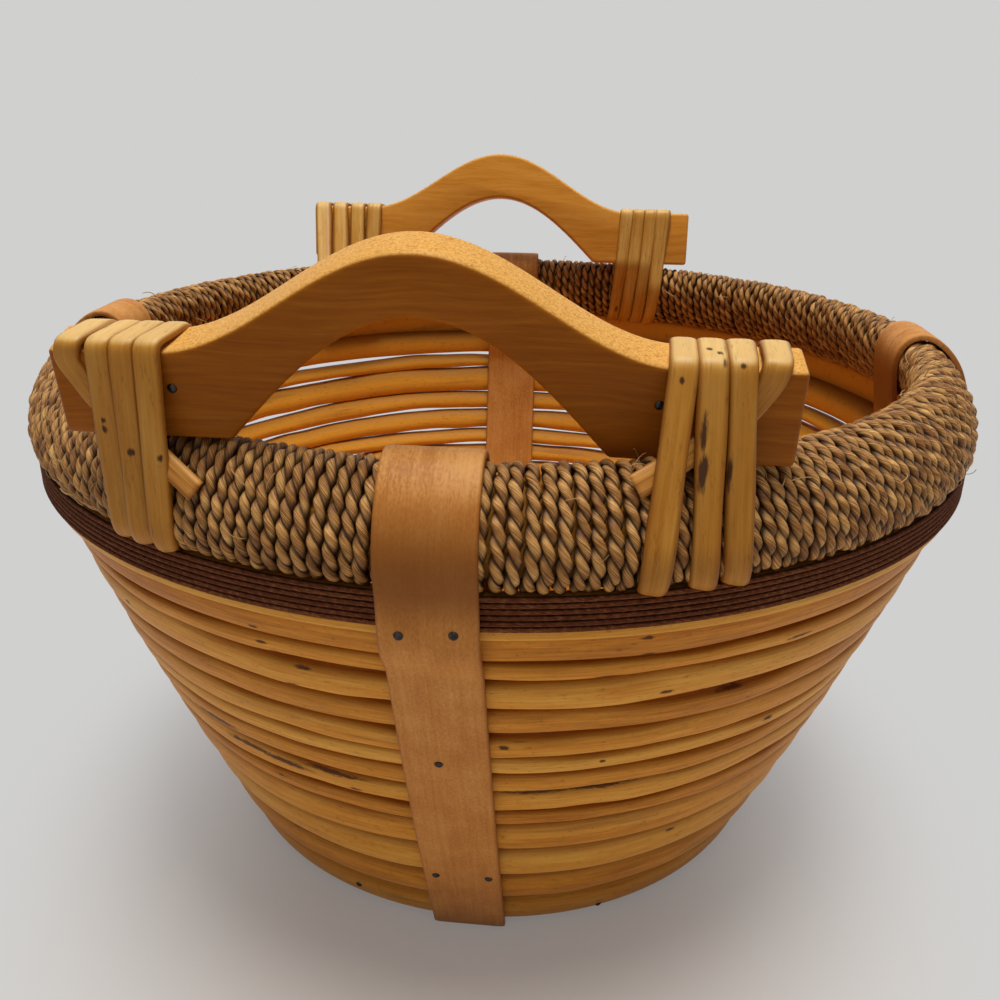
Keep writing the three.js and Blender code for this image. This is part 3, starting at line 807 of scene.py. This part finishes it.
def strap_wood():
    material, tree, shader = finish_of("strap_wood", 0.5, 0.2)
    along, across, tone = (read(tree, name) for name in ("along", "across", "tone"))
    height = split(coordinates(tree))[2]
    own = tone * 3.1
    grain = speckle(triple(along * 22.0, across * 620.0, own), 1.0, 4.0, 0.6)
    cloud = speckle(triple(along * 55.0, across * 70.0, own), 1.0, 4.0, 0.6)
    pores = speckle(triple(along * 700.0, across * 1300.0, own), 1.0, 2.0)
    blend = grain * 0.27 + cloud * 0.43 + pores * 0.30
    colour = ramp(blend, (0.32, (0.44, 0.150, 0.022)), (0.5, (0.62, 0.250, 0.052)),
                  (0.66, (0.74, 0.36, 0.105)))
    # Painted shade: a darker band from about 0.18 to 0.23 m up, where the strap faces down under the rope.
    darkening = fade(height, 0.179, 0.194) * fade(height, 0.229, 0.204)
    colour = mixed(darkening * 0.78, colour, (0.25, 0.072, 0.005))
    # Painted top light: the strap is paler over the top of the rim, broken up by the grain.
    painted_top_light = fade(height, 0.216, 0.225) * fade(blend, 0.42, 0.58)
    colour = mixed(painted_top_light * 0.4, colour, (0.84, 0.43, 0.135))
    edge = fade(calc("ABSOLUTE", across), 13.8 * mm, 14.9 * mm)
    colour = mixed(edge * 0.5, colour, (0.26, 0.075, 0.012))
    coloured(shader, colour, cloud * 0.3 + 0.34)
    bumped(shader, cloud + pores, 0.16, 0.25 * mm)
    return material


laid_strip = strip_recipe()
strap_finish = strap_wood()
profile = strap_path()
radius, level = profile.T
outer, rise = unit(np.gradient(profile, axis=0)).T
for order, (side, angle) in enumerate(strap_angles.items()):
    cosine, sine = compass(angle)
    slide = strap_slide(side, level)
    points = np.stack([radius * cosine - slide * sine, radius * sine + slide * cosine, level], axis=1)
    away = np.stack([rise * cosine, rise * sine, -outer], axis=1)
    mesh = path_mesh("strap_" + side, points, away, strap_width, strap_thickness, order + 1.0)
    strap = made("strap_" + side + "_wood", laid_strip, strap_finish, mesh, Count=len(points) + 2,
                 Around=25, Dome=1.0, Under=0.02, Roundness=0.22)
    fixed(strap, "strap_wood", "strap_" + side)

# Handles
# Two boards sawn to a bell-shaped arch with a hand hole open below. They stand on the rim, lean outwards
# and have rounded edges and a varnished face with long grain. Painted light makes their upward-facing edges
# paler, and the front board takes painted shade while the rear board is painted as lit.
handle_length = 220.0
handle_thickness = 15.0
handle_end_height = 29.0
handle_rise = 31.0
arch_half_width = 76.0
grip_half_width = 56.0
grip_heights = {"front": 39.5, "rear": 35.6}
top_falls = {"front": 1.8, "rear": 0.6}
foot_falls = {"front": 3.0, "rear": 0.0}
end_trims = {"front": 3.3, "rear": 0.0}
handle_lean = 9.2
lean_cos, lean_sin = compass(handle_lean)
handle_offset = -14.0
handle_inset = 24.0
handle_gap = 0.3
handle_y = rim_radius - handle_inset
rim_top = rim_level + math.hypot(rim_half_width * rim_sin, rim_half_height * rim_cos)
handle_base = rim_top + handle_gap + handle_thickness / 2.0 * lean_sin
handle_edge = 1.6
sawn_corner = 0.6
shaded_corner = math.radians(35.0)


def handle_outline(grip_height, top_fall, foot_fall, end_trim):
    """One side of a board: a foot that may drop to the right, an open hand hole and the arch."""
    half = handle_length / 2.0
    left = end_trim - half
    end_height = handle_end_height - top_fall

    def foot(u):
        return -foot_fall * (u + half) / handle_length

    under = []
    for u in np.linspace(-grip_half_width, grip_half_width, 61):
        rise = math.cos(math.pi * u / (2.0 * grip_half_width))
        under.append((u, grip_height * rise + foot(u) * (1.0 - rise)))
    over = [(u, end_height + handle_rise * math.cos(math.pi * u / (2.0 * arch_half_width)) ** 2)
            for u in np.linspace(arch_half_width, -arch_half_width, 81)]
    return [(left, foot(left)), *under, (half, foot(half)), (half, end_height), *over, (left, end_height)]


def handle_wood():
    material, tree, shader = finish_of("handle_wood", 0.45, 0.1)
    place = coordinates(tree)
    x, y, z = split(place)
    warp = speckle(triple(x * 9.0, y * 9.0, z * 22.0), 1.0, 2.0)
    bend = warp * 0.02 + z
    fine = speckle(triple(x * 30.0, y * 260.0, bend * 620.0), 1.0, 5.0, 0.65)
    broad = speckle(triple(x * 6.0, y * 60.0, bend * 130.0), 1.0, 3.0)
    pores = speckle(triple(x * 160.0, y * 900.0, z * 1500.0), 1.0, 2.0)
    blend = fine * 0.68 + broad * 0.32
    # Painted light and shade: the front board takes a shaded copy of the wood colour, the rear board a lit
    # copy.
    shaded_face = ramp(blend, (0.30, (0.255, 0.068, 0.003)), (0.5, (0.36, 0.106, 0.006)),
                (0.70, (0.46, 0.160, 0.014)))
    lit_face = ramp(blend, (0.30, (0.64, 0.235, 0.022)), (0.5, (0.80, 0.330, 0.043)),
                 (0.70, (0.90, 0.420, 0.080)))
    face = mixed(fade(y, -0.02, 0.02), shaded_face, lit_face)
    # Painted top light: upward-facing surfaces take a paler, speckled colour.
    grit = speckle(place, 1300.0, 4.0, 0.7)
    painted_top_light = ramp(grit, (0.34, (0.60, 0.25, 0.035)), (0.52, (0.84, 0.44, 0.105)),
                  (0.7, (0.92, 0.54, 0.165)))
    top = fade(split(coordinates(tree, "Normal"))[2], 0.25, 0.7)
    colour = mixed(top, face, painted_top_light)
    specks = fade(pores, 0.6, 0.7) * (top * 0.15 + 0.15)
    colour = mixed(specks, colour, (0.12, 0.04, 0.008))
    coloured(shader, colour, fine * 0.25 + 0.30)
    bumped(shader, fine + pores, 0.15, 0.3 * mm)
    return material


def board_point(u, v, w, facing):
    """A point of a handle's board in the basket: along, up and out from its middle plane."""
    return (handle_offset + u, facing * (handle_y + v * lean_sin + w * lean_cos),
            handle_base + v * lean_cos - w * lean_sin)


handle_finish = handle_wood()
for name, facing in (("front", -1.0), ("rear", 1.0)):
    shape = bmesh.new()
    sides = []
    for w, share in ((-handle_thickness / 2.0, 0.0), (handle_thickness / 2.0, 1.0)):
        outline = handle_outline(grip_heights[name], share * top_falls[name], share * foot_falls[name],
                                 end_trims[name])
        sides.append([shape.verts.new([value * mm for value in board_point(u, v, w, facing)])
                      for u, v in outline])
    shape.faces.new(sides[0])
    shape.faces.new(sides[1])
    for index in range(len(outline)):
        after = (index + 1) % len(outline)
        shape.faces.new((sides[0][index], sides[0][after], sides[1][after], sides[1][index]))
    bmesh.ops.remove_doubles(shape, verts=shape.verts, dist=0.001 * mm)
    bmesh.ops.recalc_face_normals(shape, faces=shape.faces)
    sharp = [edge for edge in shape.edges if edge.is_manifold and edge.calc_face_angle() > sawn_corner]
    bmesh.ops.bevel(shape, geom=sharp, offset=handle_edge * mm, offset_type="OFFSET", segments=4,
                    profile=0.5, affect="EDGES", clamp_overlap=True)
    mesh = bpy.data.meshes.new("handle_" + name)
    shape.to_mesh(mesh)
    shape.free()
    for polygon in mesh.polygons:
        polygon.use_smooth = True
    mesh.set_sharp_from_angle(angle=shaded_corner)
    mesh.materials.append(handle_finish)
    fixed(placed("handle_" + name + "_wood", mesh), "handle_wood", "handle_" + name)

# Lashings
# Split willow binds each end of a handle to the rim. A strip goes round three times, then slants down
# behind its own turns, and its cut end sticks out beside the first turn.
strip_thickness = 2.0
strip_gap = 0.3
strip_spacing = 1.3
touch_slack = 2.0
tail_width = 7.4
fold_width = 10.4
tail_start_height = 250.0


def lashed_outline(x):
    """Points of the handle's end and of the rim, cut by an upright plane across the board."""
    points = []
    for v in (0.0, handle_end_height):
        for w in (-handle_thickness / 2.0, handle_thickness / 2.0):
            points.append(board_point(0.0, v, w, 1.0)[1:])
    for tube in np.linspace(0.0, math.tau, 97)[:-1]:
        radius, height = rim_point(tube, 0.0)
        points.append((math.sqrt(radius ** 2 - x ** 2), height))
    return np.array(points)


def tight_point(x, angle, distance):
    """Where a strip touches on the side that faces an angle: its place and its outward direction."""
    outward = np.array([math.cos(angle), math.sin(angle)])
    points = lashed_outline(x)
    touch = points[np.argmax(points @ outward)]
    return touch + outward * distance, outward


def front_plane(x, z):
    """How far out the strips lie in front of the board and the rim at a height."""
    upper, lower = (tight_point(x, math.radians(angle), strip_gap)[0] for angle in (30.0, -5.0))
    return float(np.interp(z, [lower[1], upper[1]], [lower[0], upper[0]]))


def lashing_points(facing, end, tops, bottoms, start, slant, tail_end, tail_reach, bow=1.0):
    """The path of one lashing: up the inside, over the handle and down the outside, turn by turn."""
    path, away = [], []
    board_top = 90.0 - handle_lean

    def swing(first, last, x_first, x_last, steps):
        """Part of a turn, from one direction round to another, that moves evenly aside as it goes."""
        shares = np.linspace(0.0, 1.0, steps)
        angles = np.radians(first + (last - first) * shares)
        for _ in range(3):
            sides = x_first + (x_last - x_first) * shares ** bow
            touches = [tight_point(x, angle, strip_gap) for x, angle in zip(sides, angles)]
            lengths = path_lengths([place for place, outward in touches])
            shares = lengths / lengths[-1]
        sides = x_first + (x_last - x_first) * shares ** bow
        for x, angle, (place, outward) in zip(sides, angles, touches):
            (y, z), (out_y, out_z) = tight_point(x, angle, strip_gap)
            if math.dist((y, z), place) < touch_slack:
                path.append((x, facing * y, z))
                away.append((0.0, facing * out_y, out_z))

    below = start
    for turn, top in enumerate(tops):
        swing(270.0, board_top + 2.0, below, top - end * slant, 60)
        if turn < len(bottoms):
            swing(board_top - 2.0, -90.0, top, bottoms[turn], 60)
            below = bottoms[turn]
    swing(board_top - 2.0, 15.0, tops[-1], tops[-1] - end * 0.4, 14)
    for aside, share, depth in tail_route:
        x = tops[0] + end * aside * (tail_reach if aside < 0.0 else 1.0)
        z = tail_end + (tail_start_height - tail_end) * share
        path.append((x, facing * (front_plane(x, z) - depth), z))
        away.append((0.0, facing * 0.97, 0.30 - 0.4 * share))
    return np.array(path), np.array(away)


def split_willow():
    material, tree, shader = finish_of("split_willow", 0.45, 0.22)
    along, across, tone, cut = (read(tree, name) for name in ("along", "across", "tone", "cut"))
    own = tone * 4.7
    fibres = speckle(triple(along * 30.0, across * 900.0, own), 1.0, 4.0, 0.6)
    cloud = speckle(triple(along * 22.0, across * 120.0, own), 1.0, 3.0)
    blend = fibres * 0.4 + cloud * 0.6
    colour = ramp(blend, (0.30, (0.42, 0.150, 0.012)), (0.5, (0.66, 0.325, 0.056)),
                  (0.70, (0.84, 0.52, 0.155)))
    depth = split(coordinates(tree))[1]
    upward = split(coordinates(tree, "Normal"))[2]
    # Painted shade: on the front lashings, faces that do not point up are darker.
    painted_front_shade = fade(depth, -0.1, -0.15) * fade(upward, 0.75, 0.2)
    colour = mixed(painted_front_shade * 0.5, colour, (0.40, 0.145, 0.008))
    # Painted top light: upward-facing parts of the strips are paler.
    painted_upper_light = fade(upward, 0.45, 0.85)
    colour = mixed(painted_upper_light * 0.5, colour, (0.96, 0.70, 0.30))
    # Painted shade: the strips darken towards their edges, as shade between neighbouring strips.
    edge = fade(calc("ABSOLUTE", across), 2.6 * mm, 4.0 * mm)
    colour = mixed(edge * 0.7, colour, (0.26, 0.080, 0.006))
    chance, near = scattered(triple(along * 42.0, across * 120.0, own))
    knots = fade(chance, 0.80, 0.82) * fade(near, 0.16, 0.06)
    colour = mixed(knots * 0.9, colour, (0.07, 0.025, 0.01))
    torn = speckle(triple(along * 160.0, across * 900.0, own), 1.0, 4.0, 0.7)
    colour = mixed(spotted(strip_spots, torn) * 0.95, colour, (0.045, 0.012, 0.002))
    bare = ramp(fibres, (0.36, (0.34, 0.105, 0.012)), (0.6, (0.70, 0.315, 0.070)))
    colour = mixed(cut, colour, bare)
    coloured(shader, colour, fibres * 0.25 + 0.30)
    bumped(shader, fibres, 0.2, 0.3 * mm)
    return material


tail_route = [(24.5, 1.0, 1.0), (22.7, 0.875, 2.8), (18.5, 0.677, 3.4), (12.0, 0.48, 3.2),
              (6.0, 0.354, 2.8), (0.0, 0.222, 2.6), (-5.0, 0.11, 2.2), (-10.0, 0.0, 1.6)]
lashings = {
    "front_right": dict(facing=-1.0, end=1.0, tops=(61.3, 69.2, 77.4, 87.0), bottoms=(55.2, 70.6, 80.6),
                        start=48.0, slant=-0.8, tail_end=221.0, tail_reach=1.2),
    "front_left": dict(facing=-1.0, end=-1.0, tops=(-90.8, -98.2, -105.3, -114.0),
                       bottoms=(-90.7, -99.8, -107.8), start=-82.0, slant=4.5, tail_end=212.5,
                       tail_reach=1.25, bow=1.35),
    "rear_right": dict(facing=1.0, end=1.0, tops=(60.8, 67.7, 74.6, 81.5), bottoms=(62.5, 69.5, 76.5),
                       start=55.5, slant=0.6, tail_end=216.0, tail_reach=1.0),
    "rear_left": dict(facing=1.0, end=-1.0, tops=(-88.1, -98.0, -108.5, -118.6),
                      bottoms=(-95.5, -101.5, -108.0), start=-90.0, slant=0.0, tail_end=216.0,
                      tail_reach=1.0),
}
strip_widths = {"front_right": 8.6, "front_left": 7.6, "rear_right": 7.3, "rear_left": 8.8}
front_marks = [
    (67.9, 226.0, 1.9, 10.0), (67.4, 236.5, 1.4, 12.0), (75.5, 226.0, 1.4, 9.0), (60.6, 250.3, 1.0, 1.4),
    (71.4, 257.2, 1.1, 1.2), (72.3, 255.8, 1.0, 2.8), (77.2, 256.6, 1.3, 1.1), (77.2, 254.4, 1.5, 1.3),
    (74.5, 256.4, 0.9, 1.0), (-106.4, 231.4, 1.0, 1.6), (-106.5, 228.6, 1.2, 1.8), (-98.5, 222.4, 1.5, 1.8),
    (-88.7, 222.0, 1.4, 1.6)]
top_marks = [(68.4, -169.0), (71.0, -171.5)]
strip_spots = [((x, -front_plane(x, z) - strip_thickness, z), (half_width, 3.0, half_height))
               for x, z, half_width, half_height in front_marks]
strip_top = handle_base + handle_end_height + strip_thickness
strip_spots += [((x, y, strip_top), (1.2, 1.5, 4.0)) for x, y in top_marks]
split_finish = split_willow()
for order, (name, shape) in enumerate(lashings.items()):
    points, away = lashing_points(**shape)
    lengths = path_lengths(points)
    places = np.linspace(0.0, lengths[-1], int(lengths[-1] / strip_spacing))
    even = softened(at_places(places, lengths, points), 3)
    outward = unit(softened(at_places(places, lengths, away), 5))
    from_end = lengths[-1] - places
    width = np.interp(from_end, [0.0, 44.0, 62.0, 80.0, 100.0],
                      [tail_width, tail_width, strip_widths[name], fold_width, strip_widths[name]])
    width *= 1.0 + 0.05 * np.sin(places / 19.0 + order * 1.7) + 0.03 * np.sin(places / 7.3 + order)
    bare = np.interp(from_end, [0.0, 3.0, 36.0, 50.0], [1.0, 0.7, 0.7, 0.0])
    mesh = path_mesh("lashing_" + name, even, outward, width, strip_thickness, order + 1.0, bare)
    lashing = made("lashing_" + name + "_willow", laid_strip, split_finish, mesh, Count=len(even) + 2,
                   Around=19, Dome=1.0, Under=0.05, Roundness=0.6)
    fixed(lashing, "split_willow", "lashing_" + name)

# Nails
# Small dark steel nails with domed heads: five in each strap, one beside each lashing and four round the
# foot. Their shanks are in the wood.
nail_head = 1.5
nail_dome = 0.75
nail_proud = 0.1


def nail_recipe():
    """Flattened balls on points, each facing the way its nail was driven."""
    tree, size = new_recipe("driven_nails", Head=0.0015, Dome=0.0006)
    ball = field(tree, "GeometryNodeMeshUVSphere", {"Segments": 14, "Rings": 8, "Radius": 1.0}, "Mesh")
    outward = stored(tree, "outward", "FLOAT_VECTOR")
    turn = field(tree, "FunctionNodeAlignRotationToVector", {"Vector": outward}, axis="Z")
    nails = field(tree, "GeometryNodeInstanceOnPoints",
                  {"Points": size["Geometry"], "Instance": ball, "Rotation": turn,
                   "Scale": triple(size["Head"], size["Head"], size["Dome"])})
    return served(nails, size["Finish"])


def dark_steel():
    material, tree, shader = finish_of("dark_steel", 0.4, 0.5, 0.85)
    rust = speckle(coordinates(tree), 900.0, 3.0)
    colour = ramp(rust, (0.3, (0.020, 0.017, 0.016)), (0.7, (0.075, 0.055, 0.048)))
    coloured(shader, colour, rust * 0.4 + 0.15)
    bumped(shader, rust, 0.3, 0.2 * mm)
    return material


def strap_nail_places(side):
    """The five nails of a strap: two at the hoop, one in the middle and two low."""
    band_out = hoop_radius + 2.0 * cord_radius + strap_thickness + nail_proud
    hoop_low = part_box("top_hoop")[0][2] / mm
    places = [(band_out, hoop_low + 4.0, 0.0, -8.3), (band_out, hoop_low + 5.2, 0.0, 7.6)]
    out = strap_seat + strap_thickness + nail_proud
    rod_nails = (("wall_rod_08", 3.8, -2.2), ("wall_rod_03", -6.0, -10.0), ("wall_rod_03", -5.4, 10.5))
    for node, rise, spread in rod_nails:
        low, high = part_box(node)
        z = (low[2] + high[2]) / 2.0 / mm + rise
        tilt = math.atan(wall_slope(z))
        places.append((wall_radius(z) + out * math.cos(tilt), z - out * math.sin(tilt), tilt, spread))
    cosine, sine = compass(strap_angles[side])
    for radius, z, tilt, spread in places:
        spread += strap_slide(side, z)
        yield ((radius * cosine - spread * sine, radius * sine + spread * cosine, z),
               (math.cos(tilt) * cosine, math.cos(tilt) * sine, -math.sin(tilt)))


def nails_at(name, places, nodes):
    points, outward = zip(*places)
    mesh = point_mesh(name, points, outward=np.array(outward))
    piece = made(name, driven_nails, steel, mesh, Head=nail_head * mm, Dome=nail_dome * mm)
    fixed(piece, "nail_steel", *nodes)


driven_nails = nail_recipe()
steel = dark_steel()
nail_names = ("top_a", "top_b", "middle", "low_a", "low_b")
for side in strap_angles:
    nails_at("nails_strap_" + side, list(strap_nail_places(side)),
             ["nail_%s_%s" % (side, name) for name in nail_names])
handle_nail_height = 16.0
foot_places = []
for angle, level in ((-112.6, 9.6), (-66.5, 5.0), (69.5, 9.0), (114.5, 9.0)):
    cosine, sine = compass(angle)
    radius = wall_radius(level)
    foot_places.append(((radius * cosine, radius * sine, level), (cosine, sine, 0.0)))
nails_at("nails_foot", foot_places,
         ["nail_base_" + name for name in ("front_left", "front_right", "back_right", "back_left")])
for name, facing in (("front", -1.0), ("rear", 1.0)):
    places = []
    out = (0.0, facing * lean_cos, -lean_sin)
    for u in (-71.5, 69.5):
        places.append((board_point(u, handle_nail_height, handle_thickness / 2.0, facing), out))
    nails_at("nails_handle_" + name, places, ["nail_handle_%s_%s" % (name, end) for end in "ab"])

# Studio
# A plain pale floor that fades into an even pale background, soft light from above and a little all
# round, and the camera where the photograph was taken from.
backdrop = (0.63, 0.63, 0.625)
floor_tint = (0.80, 0.74, 0.67)
floor_half = 6.0
floor_glow = 0.25
shade_narrowing = 1.4
shade_centre = 0.05
shade_from = 0.10
shade_to = 0.36
mesh = bpy.data.meshes.new("floor")
mesh.from_pydata([(-floor_half, -floor_half, 0.0), (floor_half, -floor_half, 0.0),
                  (floor_half, floor_half, 0.0), (-floor_half, floor_half, 0.0)], [], [(0, 1, 2, 3)])
floor = placed("floor", mesh)


def seen_directly(tree):
    """1 for rays that show the background itself: camera, mirror-like and see-through ones."""
    path = step(tree, "ShaderNodeLightPath").outputs
    camera, mirror, through = (Field(tree, path["Is %s Ray" % kind])
                               for kind in ("Camera", "Glossy", "Transmission"))
    return calc("MAXIMUM", calc("MAXIMUM", camera, mirror), through)


material, tree, shader = finish_of("pale_floor", 0.9, 0.1)
shader.inputs["Base Color"].default_value = (*floor_tint, 1.0)
x, y, _ = split(coordinates(tree))
# Painted light on the floor: for camera and mirror rays it glows with the backdrop's colour, a quarter as
# much near the basket and fully further out, on a round narrowed sideways, so the basket's shadow shows
# paler, and paler at the sides than in front.
distance = vector_calc("LENGTH", triple(x * shade_narrowing, y + shade_centre, 0.0), output="Value")
far = fade(distance, shade_from, shade_to) * (1.0 - floor_glow) + floor_glow
far = far * seen_directly(tree)
glow = field(tree, "ShaderNodeEmission", {"Color": (*backdrop, 1.0), "Strength": 1.0})
blend = field(tree, "ShaderNodeMixShader", [far, Field(tree, shader.outputs[0]), glow])
blend.into(tree.nodes["Material Output"].inputs["Surface"])
mesh.materials.append(material)

world = bpy.data.worlds.new("room")
bpy.context.scene.world = world
world.use_nodes = True
tree = world.node_tree
ambient = field(tree, "ShaderNodeBackground", {"Color": (1.0, 0.985, 0.96, 1.0), "Strength": 0.1})
plain = field(tree, "ShaderNodeBackground", {"Color": (*backdrop, 1.0), "Strength": 1.0})
blend = field(tree, "ShaderNodeMixShader", [seen_directly(tree), ambient, plain])
blend.into(tree.nodes["World Output"].inputs["Surface"])


def aimed(thing, right, up, back, place):
    """Stands a lamp or a camera at a place in metres, looking away from its back direction."""
    rows = [[right[axis], up[axis], back[axis], place[axis]] for axis in range(3)]
    thing.matrix_world = Matrix(rows + [[0.0, 0.0, 0.0, 1.0]])


def soft_lamp(name, place, size, power):
    lamp = bpy.data.lights.new(name, "AREA")
    lamp.shape = "DISK"
    lamp.size = size
    lamp.energy = power
    lamp.color = lamp_colour
    back = np.array(place) - np.array(lamp_target)
    back /= np.linalg.norm(back)
    right = np.cross([0.0, 1.0, 0.0], back)
    right /= np.linalg.norm(right)
    aimed(placed(name, lamp), right, np.cross(back, right), back, place)


lamp_colour = (1.0, 0.97, 0.93)
lamp_target = (0.0, 0.0, 0.1)
soft_lamp("overhead", (0.08, -0.15, 2.6), 1.4, 58.0)
soft_lamp("front_fill", (-0.5, -1.8, 0.7), 1.6, 1.5)

camera_place = np.array([28.98, -445.83, 324.58]) * mm
cos_azimuth, sin_azimuth = compass(3.81)
cos_elevation, sin_elevation = compass(22.61)
cos_roll, sin_roll = compass(0.875)
lens = bpy.data.cameras.new("camera")
lens.sensor_width = 36.0
lens.lens = 36.0
lens.clip_start = 0.01
camera = placed("camera", lens)
back = np.array([sin_azimuth * cos_elevation, -cos_azimuth * cos_elevation, sin_elevation])
right = np.cross(-back, [0.0, 0.0, 1.0])
right /= np.linalg.norm(right)
up = np.cross(right, -back)
aimed(camera, right * cos_roll + up * sin_roll, up * cos_roll - right * sin_roll, back, camera_place)
bpy.context.scene.camera = camera
bpy.context.scene.view_settings.view_transform = "Standard"
